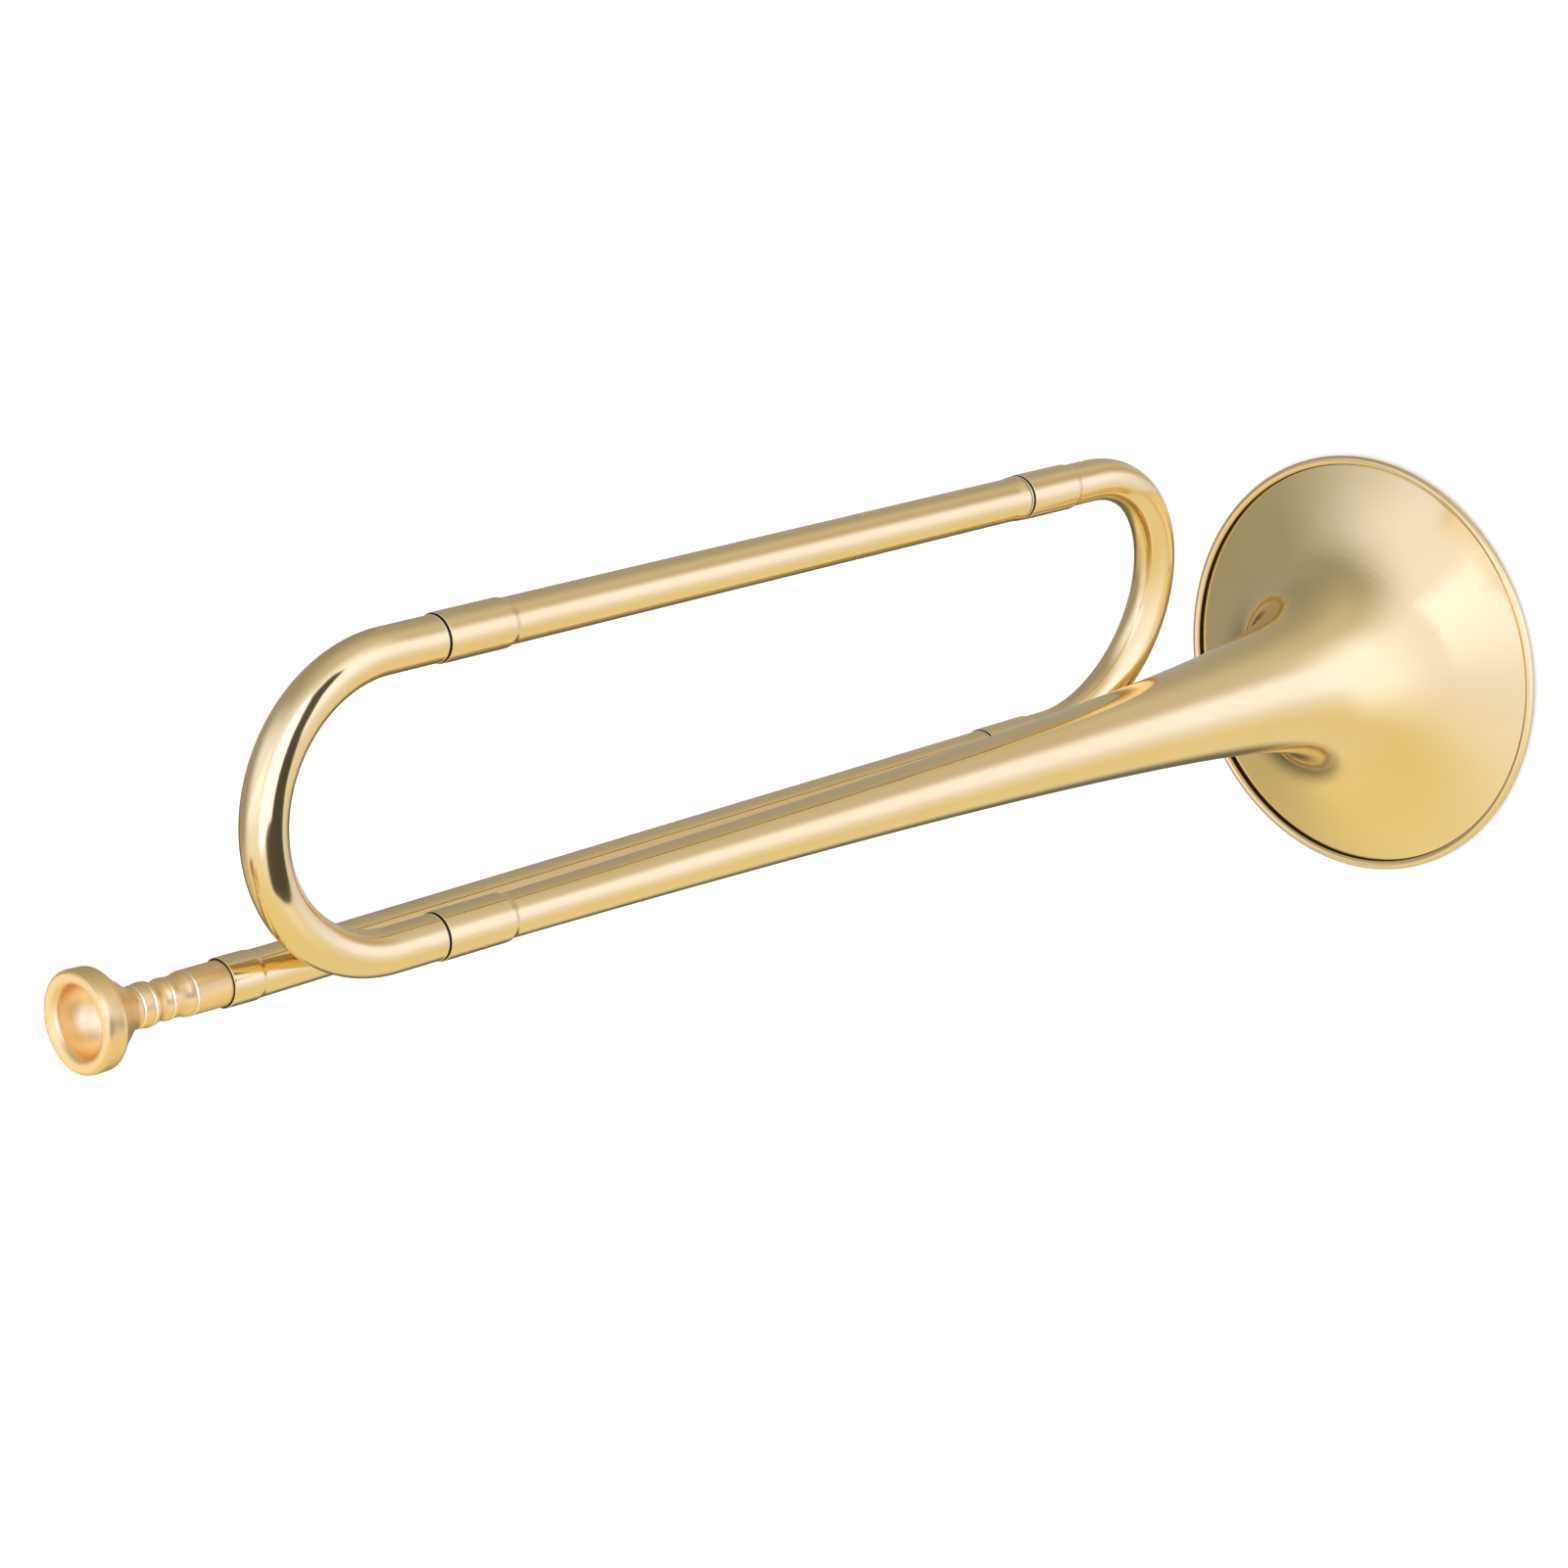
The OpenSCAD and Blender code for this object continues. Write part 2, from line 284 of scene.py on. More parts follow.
class BugleStageSettings(bpy.types.PropertyGroup):
    """The camera, floor and studio light."""

    eye: FloatVectorProperty(
        name="Camera place", description="Where the camera stands", subtype="TRANSLATION",
        unit="LENGTH", default=(0.3440, -0.7636, 1.0401),
    )
    look: FloatVectorProperty(
        name="Camera looks along", description="Direction of the view", subtype="DIRECTION",
        default=(-0.2903, 0.6733, -0.6800),
    )
    top: FloatVectorProperty(
        name="Camera's up", description="Upward direction of the picture", subtype="DIRECTION",
        default=(0.9569, 0.2103, -0.2002),
    )
    lens: FloatProperty(
        name="Lens", description="Focal length in millimetres on a 36 mm sensor", default=92.17
    )
    floor: FloatProperty(
        name="Floor size", description="Side of the pale floor", default=12.0, unit="LENGTH"
    )


class BugleSettings(bpy.types.PropertyGroup):
    """All settings of the bugle."""

    bell: PointerProperty(type=BugleBellSettings)
    tube: PointerProperty(type=BugleTubeSettings)
    mouth: PointerProperty(type=BugleMouthpieceSettings)
    finish: PointerProperty(type=BugleFinishSettings)
    stage: PointerProperty(type=BugleStageSettings)


# ---------------------------------------------------------------- lines of the tubing


def shift(x, y, z):
    return Matrix.Translation((x, y, z))


def lean_start(t):
    """Height of the point about which everything past the near bow leans."""
    return t.near_bow - BOW_END - t.elbow * math.tan(t.lean / 2)


def leaning(t):
    """Turn of everything past the near bow."""
    z = lean_start(t)
    return shift(0, 0, z) @ Matrix.Rotation(t.lean, 4, "X") @ shift(0, 0, -z)


def pipe_line(t):
    """Frame of the lead pipe, z along its axis."""
    return leaning(t) @ shift(t.pipe_side, t.pipe_back, 0)


def mid_line(t):
    """Frame of the middle tube, z along its axis."""
    return leaning(t) @ shift(t.loop_width, 0, 0)


def receiver_line(t, m):
    """Frame at the lead pipe's turn, z along the receiver."""
    return pipe_line(t) @ shift(0, 0, m.kick_height) @ Matrix.Rotation(m.kick, 4, "Y")


def far_plane(t):
    """Frame with x from the lead pipe to the middle tube, and the distance between them."""
    dx = t.loop_width - t.pipe_side
    turn = math.atan2(-t.pipe_back, dx)
    return pipe_line(t) @ Matrix.Rotation(turn, 4, "Z"), math.hypot(dx, t.pipe_back)


def carried(frames):
    """The same places with frames that turn as little as possible from one to the next."""
    out = []
    x_axis = None
    for i, m in enumerate(frames):
        here = m.to_translation()
        before = frames[max(i - 1, 0)].to_translation()
        after = frames[min(i + 1, len(frames) - 1)].to_translation()
        along = (after - before).normalized()
        if x_axis is None:
            x_axis = m.col[0].to_3d()
        x_axis = (x_axis - along * x_axis.dot(along)).normalized()
        y_axis = along.cross(x_axis)
        turned = Matrix((x_axis, y_axis, along)).transposed().to_4x4()
        turned.translation = here
        out.append(turned)
    return out


# ---------------------------------------------------------------- mesh tools


def skin(name, rings, segments, body, material, replaced):
    """Closed piece: a grid rolled into a tube through the rings (frame, radius, share of painted
    light: painted shade at joints, painted highlight on the mouthpiece).
    """
    rings = list(rings) + [rings[0]]
    along = [0.0]
    for (a, ra, _), (b, rb, _) in zip(rings, rings[1:]):
        step = (b.to_translation() - a.to_translation()).length
        along.append(along[-1] + math.hypot(step, rb - ra))
    bm = bmesh.new()
    painted_light_layer = bm.verts.layers.float.new("painted_light")
    laid_layer = bm.verts.layers.float_vector.new("laid")
    bmesh.ops.create_grid(bm, x_segments=len(rings) - 1, y_segments=segments, size=0.5)
    edges = []
    for v in bm.verts:
        i = round((v.co.x + 0.5) * (len(rings) - 1))
        k = round((v.co.y + 0.5) * segments)
        if i in (0, len(rings) - 1) or k in (0, segments):
            edges.append(v)
        place, radius, painted_light = rings[i]
        turn = 2 * math.pi * (k % segments) / segments
        x, y = radius * math.cos(turn), radius * math.sin(turn)
        v.co = place @ Vector((x, y, 0))
        v[painted_light_layer] = painted_light
        v[laid_layer] = Vector((x, y, along[i]))
    bmesh.ops.remove_doubles(bm, verts=edges, dist=1e-8)
    for f in bm.faces:
        f.smooth = True
    bmesh.ops.recalc_face_normals(bm, faces=bm.faces)
    piece = as_object(name, bm)
    piece.data.materials.append(material)
    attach(piece, body)
    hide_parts(replaced)


def as_object(name, bm):
    """The mesh as an object of the scene, at the origin."""
    mesh = bpy.data.meshes.new(name)
    bm.to_mesh(mesh)
    bm.free()
    made = bpy.data.objects.new(name, mesh)
    bpy.context.scene.collection.objects.link(made)
    return made


def repaint(name, material):
    """Give a CAD node that stays in view its finish."""
    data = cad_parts[name].data
    data.materials.clear()
    data.materials.append(material)


def is_corner(rows, i):
    """Whether the outline ends or turns sharply at row i."""
    if i in (0, len(rows) - 1):
        return True
    before, here, after = (Vector(row[:2]) for row in rows[i - 1:i + 2])
    return (here - before).angle(after - here, math.pi) > CORNER


def held(rows):
    """The rows with an extra one on every long straight span, close to each of its corners."""
    out = [tuple(rows[0])]
    for i, (a, b) in enumerate(zip(rows, rows[1:])):
        length = math.hypot(b[0] - a[0], b[1] - a[1])
        for end, share in ((i, HOLD / length), (i + 1, 1 - HOLD / length)):
            if length > 5 * HOLD and is_corner(rows, end):
                painted_light = rows[end][2] if len(a) > 2 and len(b) > 2 else 0.0
                out.append((a[0] + (b[0] - a[0]) * share, a[1] + (b[1] - a[1]) * share, painted_light))
        out.append(tuple(b))
    return out


def at_heights(place, profile):
    """Rings of a turned shape; profile rows are (height, radius) with an optional share of painted
    light (painted shade, on the mouthpiece painted highlight).
    """
    return [
        (place @ shift(0, 0, row[0]), row[1], row[2] if len(row) > 2 else 0.0)
        for row in held(profile)
    ]


def lip(open_z, out_r, in_r):
    """Rows over the rounded outer edge of an open tube end, and rows of its inside, which carry
    painted shade as the dark of the gap.
    """
    outer = [(open_z - 0.7 * MM, out_r)]
    for i in range(LIP_STEPS + 1):
        a = math.radians(90 * i / LIP_STEPS)
        outer.append((open_z - LIP_ROUND * (1 - math.sin(a)),
                      out_r - LIP_ROUND * (1 - math.cos(a)), 0.0))
    inner = [
        (open_z - 0.01 * MM, out_r - LIP_ROUND - 0.03 * MM, 1.0),
        (open_z - 0.02 * MM, in_r + 0.10 * MM, 1.0),
        (open_z - 0.10 * MM, in_r + 0.03 * MM, 1.0),
        (open_z - 0.40 * MM, in_r, 1.0),
    ]
    return outer, inner


def smooth_shoulder(z0, z1, r0, r1):
    """Rounded step from radius r0 at height z0 to r1 at z1."""
    rows = []
    for i in range(1, SHOULDER_STEPS):
        u = i / SHOULDER_STEPS
        k = u * u * (3 - 2 * u)
        rows.append((z0 + (z1 - z0) * u, r0 + (r1 - r0) * k, 0.0))
    return rows


def socket_radii(t):
    """Inside and outside of a socket."""
    inside = t.diameter / 2 + SLIP
    return inside, inside + t.wall


def far_painted_shade(lip_z, r):
    """Rows of a tube from a far socket's open end, with painted shade next to it, over its bead to
    a second band of painted shade beside the bead.
    """
    return [
        (lip_z + PAINTED_SHADE_END, r, 1.0), (lip_z + PAINTED_SHADE_END + PAINTED_SHADE_FADE, r, 0.0),
        (lip_z + 1.06 * MM, r, 0.0), (lip_z + 1.10 * MM, r, 0.9), (lip_z + 1.42 * MM, r, 0.9),
    ]


# ---------------------------------------------------------------- materials


def wire(tree, out_socket, in_socket):
    """Link two sockets."""
    tree.links.new(out_socket, in_socket)


def add(tree, kind, **values):
    """New node with its settings."""
    n = tree.nodes.new(kind)
    for key, value in values.items():
        setattr(n, key, value)
    return n


def noise(tree, coords, scale, detail, rough=0.5, stretch=None):
    """Noise on the coordinates, stretched by its own scale on each axis where one is given."""
    n = add(tree, "ShaderNodeTexNoise")
    n.inputs["Scale"].default_value = scale
    n.inputs["Detail"].default_value = detail
    n.inputs["Roughness"].default_value = rough
    if stretch:
        m = add(tree, "ShaderNodeMapping")
        m.inputs["Scale"].default_value = stretch
        wire(tree, coords, m.inputs["Vector"])
        wire(tree, m.outputs["Vector"], n.inputs["Vector"])
    else:
        wire(tree, coords, n.inputs["Vector"])
    return n.outputs["Fac"]


def spread(tree, value, low, high, to_low, to_high, kind="SMOOTHSTEP"):
    """Map the value from low...high to to_low...to_high, held at both ends."""
    n = add(tree, "ShaderNodeMapRange", interpolation_type=kind)
    n.inputs["From Min"].default_value = low
    n.inputs["From Max"].default_value = high
    n.inputs["To Min"].default_value = to_low
    n.inputs["To Max"].default_value = to_high
    wire(tree, value, n.inputs["Value"])
    return n.outputs["Result"]


def sums(tree, op, a, b=0.0):
    """Arithmetic on two sockets or numbers."""
    n = add(tree, "ShaderNodeMath", operation=op)
    for socket, value in zip(n.inputs, (a, b)):
        if isinstance(value, (int, float)):
            socket.default_value = value
        else:
            wire(tree, value, socket)
    return n.outputs[0]


def mixed(tree, factor, a, b):
    """Blend from colour a to colour b."""
    n = add(tree, "ShaderNodeMix", data_type="RGBA", blend_type="MIX")
    wire(tree, factor, n.inputs["Factor"])
    for socket, value in ((n.inputs["A"], a), (n.inputs["B"], b)):
        if isinstance(value, tuple):
            socket.default_value = (*value, 1.0)
        else:
            wire(tree, value, socket)
    return n.outputs["Result"]


def metal_group(name, streak, line_depth, wave_depth, burnished_highlight=False):
    """Node group: tint of the metal, its roughness mask and a fine surface normal.

    Marked places get painted shade, dark and dull; with burnished_highlight they get a painted
    highlight instead, pale and glossy.
    """
    g = bpy.data.node_groups.new(name, "ShaderNodeTree")
    face = g.interface
    face.new_socket("Place", in_out="INPUT", socket_type="NodeSocketVector")
    face.new_socket("Pale", in_out="INPUT", socket_type="NodeSocketColor")
    face.new_socket("Warm", in_out="INPUT", socket_type="NodeSocketColor")
    face.new_socket("Stain", in_out="INPUT", socket_type="NodeSocketFloat")
    face.new_socket("Color", in_out="OUTPUT", socket_type="NodeSocketColor")
    face.new_socket("Dull", in_out="OUTPUT", socket_type="NodeSocketFloat")
    face.new_socket("Normal", in_out="OUTPUT", socket_type="NodeSocketVector")
    src = add(g, "NodeGroupInput")
    out = add(g, "NodeGroupOutput")
    coords = add(g, "ShaderNodeTexCoord").outputs["Object"]
    cloud = noise(g, coords, 14.0, 2.0)
    patch = noise(g, coords, 55.0, 3.0, 0.6)
    tone = sums(g, "ADD", sums(g, "MULTIPLY", cloud, 0.7), sums(g, "MULTIPLY", patch, 0.3))
    tone = spread(g, tone, 0.30, 0.72, 0.0, 1.0)
    color = mixed(g, tone, src.outputs["Pale"], src.outputs["Warm"])
    speck = spread(g, noise(g, coords, 900.0, 4.0, 0.7), 0.74, 0.82, 0.0, 0.35)
    color = mixed(g, speck, color, SPECK)
    # Marked places: painted shade on the tubes, painted highlight on the mouthpiece.
    color = mixed(g, src.outputs["Stain"], color, PAINTED_HIGHLIGHT if burnished_highlight else PAINTED_SHADE)
    streaks = noise(g, src.outputs["Place"], 1.0, 5.0, 0.65, streak)
    smear = noise(g, coords, 120.0, 4.0, 0.7)
    dull = sums(g, "ADD", spread(g, streaks, 0.45, 0.72, 0.0, 0.6),
                spread(g, smear, 0.5, 0.75, 0.0, 0.4))
    if burnished_highlight:
        dull = sums(g, "MULTIPLY", spread(g, dull, 0.0, 1.0, 0.63, 1.0, "LINEAR"),
                    sums(g, "SUBTRACT", 1.0, src.outputs["Stain"]))
    else:
        dull = sums(g, "MAXIMUM", dull, src.outputs["Stain"])
    wire(g, color, out.inputs["Color"])
    wire(g, dull, out.inputs["Dull"])
    wave = noise(g, coords, 26.0, 1.0)
    height = sums(g, "ADD", sums(g, "MULTIPLY", streaks, line_depth),
                  sums(g, "MULTIPLY", wave, wave_depth))
    bump = add(g, "ShaderNodeBump")
    bump.inputs["Strength"].default_value = 0.05
    bump.inputs["Distance"].default_value = 0.0006
    wire(g, height, bump.inputs["Height"])
    wire(g, bump.outputs["Normal"], out.inputs["Normal"])
    return g


def metal_material(name, group, pale, warm, rough_low, rough_high, coat, laid=True):
    """Metal on one node group, its fine lines along the piece where the mesh has them laid."""
    m = bpy.data.materials.new(name)
    m.use_nodes = True
    t = m.node_tree
    t.nodes.clear()
    out = add(t, "ShaderNodeOutputMaterial")
    s = add(t, "ShaderNodeBsdfPrincipled")
    s.inputs["Metallic"].default_value = 1.0
    s.inputs["Coat Weight"].default_value = coat
    s.inputs["Coat Roughness"].default_value = 0.05
    s.inputs["Coat IOR"].default_value = 1.45
    g = add(t, "ShaderNodeGroup", node_tree=group)
    g.inputs["Pale"].default_value = (*pale, 1.0)
    g.inputs["Warm"].default_value = (*warm, 1.0)
    if laid:
        wire(t, add(t, "ShaderNodeAttribute", attribute_name="laid").outputs["Vector"],
             g.inputs["Place"])
        # The mesh's share of painted light: painted shade at joints and creases, painted highlight
        # on the mouthpiece.
        wire(t, add(t, "ShaderNodeAttribute", attribute_name="painted_light").outputs["Fac"],
             g.inputs["Stain"])
    else:
        wire(t, add(t, "ShaderNodeTexCoord").outputs["Object"], g.inputs["Place"])
    wire(t, g.outputs["Color"], s.inputs["Base Color"])
    wire(t, spread(t, g.outputs["Dull"], 0.0, 1.0, rough_low, rough_high, "LINEAR"),
         s.inputs["Roughness"])
    wire(t, g.outputs["Normal"], s.inputs["Normal"])
    wire(t, s.outputs["BSDF"], out.inputs["Surface"])


def materials(finish):
    """The finishes, made once: lacquered tubes, turned mouthpiece, solder and rim wire."""
    if "Lacquered brass" in bpy.data.materials:
        return {m.name: m for m in bpy.data.materials}
    drawn = metal_group("Drawn tube surface", (900.0, 900.0, 25.0), 0.25, 0.4)
    turned = metal_group("Turned surface", (60.0, 60.0, 5200.0), 2.2, 0.3, burnished_highlight=True)
    cast = metal_group("Solder surface", (700.0, 700.0, 700.0), 1.5, 0.4)
    gold, amber, rose = tuple(finish.gold), tuple(finish.amber), tuple(finish.rose)
    metal_material("Lacquered brass", drawn, gold, amber, finish.gloss, finish.gloss + 0.09, 0.2)
    metal_material("Turned rose brass", turned, rose, tuple(0.94 * c for c in rose), 0.12, 0.50,
                   0.0)
    metal_material("Solder", cast, (0.90, 0.78, 0.52), (0.82, 0.70, 0.45), 0.20, 0.35, 0.0, False)
    metal_material("Rim wire", cast, (0.55, 0.47, 0.30), (0.45, 0.37, 0.22), 0.35, 0.5, 0.0, False)
    return {m.name: m for m in bpy.data.materials}


# ---------------------------------------------------------------- bell


def bell_radius(b, z):
    """Outer radius of the bell at height z above the front edge of its sheet, in metres."""
    bead_ring = b.diameter / 2 - b.bead / 2
    mouth = bead_ring - THROAT - SWELL - 0.15 * MM
    flare = mouth * (1 + z / FLARE_LENGTH) ** -b.flare_power
    return THROAT + SWELL * math.exp(-z / b.growth) + flare


def bell_profile(b, t):
    """Rows of the bell: socket, stem and back, rolled bead, then the inside to the socket."""
    socket_in, socket_out = socket_radii(t)
    bead_r = b.bead / 2
    bead_c = b.diameter / 2 - bead_r
    bead_z = bead_r - 0.05 * MM
    socket_z = b.stem_height - t.socket
    shoulder_z = socket_z - t.shoulder
    stem_top = shoulder_z - b.wall
    lip_out, lip_in = lip(b.stem_height, socket_out, socket_in)
    outside = [(socket_z, socket_out)]
    outside += smooth_shoulder(socket_z, shoulder_z, socket_out, bell_radius(b, stem_top))
    back, front = [], []
    crease_r = bead_c - bead_r - 0.25 * MM
    crowding, small = 2.6, 0.01 * MM
    for i in range(BELL_STEPS + 1):
        z = stem_top * ((BELL_STEPS - i) / BELL_STEPS) ** crowding
        r = bell_radius(b, z)
        slope = (bell_radius(b, z + small) - r) / small
        n = math.hypot(1, slope)
        if r < crease_r:
            back.append((z + b.wall, r))
        front.append((z + b.wall + b.wall * slope / n, r - b.wall / n))
    last_z = back[-1][0]
    # The crease between the sheet and the rolled bead carries painted shade.
    groove = [
        (last_z - 0.01 * MM, crease_r, 0.0),
        (last_z - 0.02 * MM, crease_r + 0.03 * MM, 1.0),
        (last_z - 0.12 * MM, crease_r + 0.28 * MM, 1.0),
    ]
    # The bead's first two rows, beside the crease, carry painted shade too.
    bead = []
    first, last = 176, -96
    for i in range(RIM_STEPS + 1):
        a = math.radians(first + i * (last - first) / RIM_STEPS)
        bead.append((max(bead_z + bead_r * math.sin(a), 0.0), bead_c + bead_r * math.cos(a),
                     1.0 if i < 2 else 0.0))
    inner = [row for row in front if row[1] < bead_c - bead_r * 0.4]
    inner = [(max(z, 0.02 * MM), r) for z, r in inner][::-1]
    top_in = bell_radius(b, stem_top) - b.wall
    close = smooth_shoulder(shoulder_z, socket_z, top_in, socket_in)
    return (lip_out[::-1] + outside + back + groove + bead + inner + close
            + [(socket_z, socket_in)] + lip_in[::-1])


class BUGLE_OT_bell(bpy.types.Operator):
    """Build the spun bell with its stem, flare and rolled bead"""

    bl_idname = "bugle.bell"
    bl_label = "Bell"

    def execute(self, context):
        s = context.scene.bugle
        finish = materials(s.finish)
        rings = at_heights(Matrix.Identity(4), bell_profile(s.bell, s.tube))
        skin("bell_spun", rings, s.bell.segments, "bugle", finish["Lacquered brass"],
             "bell")
        repaint("rim_wire", finish["Rim wire"])
        return {"FINISHED"}


# ---------------------------------------------------------------- bows and tubes


def joint_line(place, inner_end, lip_z, outer_end):
    """Frames of a tube that comes out of a socket whose lip is at lip_z, with the share of painted
    shade at each: dark from inside the socket to just past its lip.
    """
    away = 1 if outer_end > lip_z else -1
    marks = [(inner_end, 1.0), (lip_z, 1.0), (lip_z + away * PAINTED_SHADE_END, 1.0),
             (lip_z + away * (PAINTED_SHADE_END + PAINTED_SHADE_FADE), 0.0), (lip_z + away * 4 * MM, 0.0),
             (outer_end, 0.0)]
    return [place @ shift(0, 0, z) for z, dark in marks], [dark for z, dark in marks]


class BUGLE_OT_near_bow(bpy.types.Operator):
    """Build the bow at the mouthpiece end, with a plain end for each socket"""

    bl_idname = "bugle.near_bow"
    bl_label = "Near bow"

    def execute(self, context):
        s = context.scene.bugle
        t = s.tube
        finish = materials(s.finish)
        half = t.loop_width / 2
        line, shade_marks = joint_line(Matrix.Identity(4), s.bell.stem_height - t.insert,
                                  s.bell.stem_height, t.near_bow)
        for i in range(1, BOW_STEPS + 1):
            a = math.pi * i / BOW_STEPS
            line.append(shift(half - half * math.cos(a), 0, t.near_bow + half * math.sin(a)))
        for i in range(1, ELBOW_STEPS + 1):
            a = t.lean * i / ELBOW_STEPS
            line.append(shift(t.loop_width, t.elbow * (1 - math.cos(a)),
                              t.near_bow - BOW_END - t.elbow * math.sin(a)))
        shade_marks += [0.0] * (BOW_STEPS + ELBOW_STEPS)
        start = lean_start(t) - t.elbow * math.tan(t.lean / 2)
        end, end_shade_marks = joint_line(mid_line(t), t.mid_socket - t.insert, t.mid_socket,
                                     start - BOW_END)
        line += end[::-1]
        shade_marks += end_shade_marks[::-1]
        frames = carried(line)
        out_r = t.diameter / 2 - BEND_DRAW
        rings = [(m, out_r, dark) for m, dark in zip(frames, shade_marks)]
        rings += [(m, out_r - t.wall, 0.0) for m in reversed(frames)]
        skin("near_bow_bent", rings, t.segments, "bugle", finish["Lacquered brass"],
             "near_bow")
        return {"FINISHED"}


class BUGLE_OT_far_bow(bpy.types.Operator):
    """Build the bow at the bell end, with a socket swaged into each end"""

    bl_idname = "bugle.far_bow"
    bl_label = "Far bow"

    def execute(self, context):
        s = context.scene.bugle
        t = s.tube
        finish = materials(s.finish)
        place, span = far_plane(t)
        out_r = t.diameter / 2 - BEND_DRAW
        low, high = self.leg(t, t.far_low), self.leg(t, t.far_top)
        rows = [(shift(0, 0, z), r_out, r_in, painted_light) for z, r_out, r_in, painted_light in low]
        for i in range(BOW_STEPS + 1):
            a = math.pi * i / BOW_STEPS
            x = span / 2 - span / 2 * math.cos(a)
            z = t.far_bow - span / 2 * math.sin(a)
            rows.append((shift(x, 0, z), out_r, out_r - t.wall, 0.0))
        rows += [(shift(span, 0, z), r_out, r_in, painted_light) for z, r_out, r_in, painted_light in reversed(high)]
        frames = carried([place @ row[0] for row in rows])
        rings = [(m, row[1], row[3]) for m, row in zip(frames, rows)]
        rings += [(m, row[2], 0.0) for m, row in zip(reversed(frames), reversed(rows))]
        skin("far_bow_bent", rings, t.segments, "bugle", finish["Lacquered brass"],
             "far_bow")
        return {"FINISHED"}

    @staticmethod
    def leg(t, open_z):
        """Rows (height, outside, inside, share of painted shade) from a socket's open end to the
        bend.
        """
        tube = t.diameter / 2
        socket_in, socket_out = socket_radii(t)
        # The open end's face carries painted shade.
        rows = [
            (open_z, socket_out - LIP_ROUND - 0.04 * MM, socket_in + 0.1 * MM, 1.0),
            (open_z - 0.002 * MM, socket_out - LIP_ROUND, socket_in + 0.098 * MM, 0.0),
        ]
        for i in range(1, LIP_STEPS + 1):
            a = math.radians(90 - 90 * i / LIP_STEPS)
            rows.append((open_z - LIP_ROUND * (1 - math.sin(a)),
                         socket_out - LIP_ROUND * (1 - math.cos(a)),
                         socket_in + 0.09 * MM * (1 - i / LIP_STEPS), 0.0))
        top, end = open_z - t.far_socket, open_z - t.far_socket - t.shoulder
        rows += [
            (open_z - 0.5 * MM, socket_out, socket_in, 0.0),
            (top + 0.1 * MM, socket_out, socket_in, 0.0),
            (top, socket_out, socket_in, 0.0),
        ]
        for z, r, painted_light in smooth_shoulder(top, end, socket_out, tube):
            rows.append((z, r, r - t.wall, painted_light))
        rows.append((end, tube, tube - t.wall, 0.0))
        rows.append((end - 0.1 * MM, tube, tube - t.wall, 0.0))
        rows.append((t.far_bow + 1 * MM, tube - 0.01 * MM, tube - t.wall, 0.0))
        return rows


class BUGLE_OT_mid_tube(bpy.types.Operator):
    """Build the straight middle tube with its socket for the near bow"""

    bl_idname = "bugle.mid_tube"
    bl_label = "Middle tube"

    def execute(self, context):
        s = context.scene.bugle
        t = s.tube
        finish = materials(s.finish)
        tube = t.diameter / 2
        socket_in, socket_out = socket_radii(t)
        low, top = t.far_top - t.insert, t.mid_socket
        neck, end = top - t.socket, top - t.socket - t.shoulder
        foot, crest, run_out = (t.far_top + dz * MM for dz in (1.46, 2.1, 6.5))
        foot_r, crest_r = tube + 0.03 * MM, tube + 0.30 * MM
        lip_out, lip_in = lip(top, socket_out, socket_in)
        # From inside the socket to past its open end, and beside the bead, the tube carries
        # painted shade.
        rows = [(low, tube - 0.1 * MM, 1.0), (low + 0.1 * MM, tube, 1.0),
                (t.far_top - 0.3 * MM, tube, 1.0)]
        rows += far_painted_shade(t.far_top, tube) + [(foot, foot_r, 0.0)]
        rows += smooth_shoulder(foot, crest, foot_r, crest_r) + [(crest, crest_r)]
        rows += smooth_shoulder(crest, run_out, crest_r, tube) + [(run_out, tube), (end, tube)]
        rows += smooth_shoulder(end, neck, tube, socket_out)
        rows += [(neck, socket_out)] + lip_out + lip_in
        rows += [(top - 1.0 * MM, socket_in), (neck, socket_in)]
        rows += smooth_shoulder(neck, end, socket_in, tube - t.wall)
        rows += [(end, tube - t.wall), (low, tube - t.wall)]
        skin("mid_tube_drawn", at_heights(mid_line(t), rows), t.segments, "bugle",
             finish["Lacquered brass"], "mid_tube")
        return {"FINISHED"}


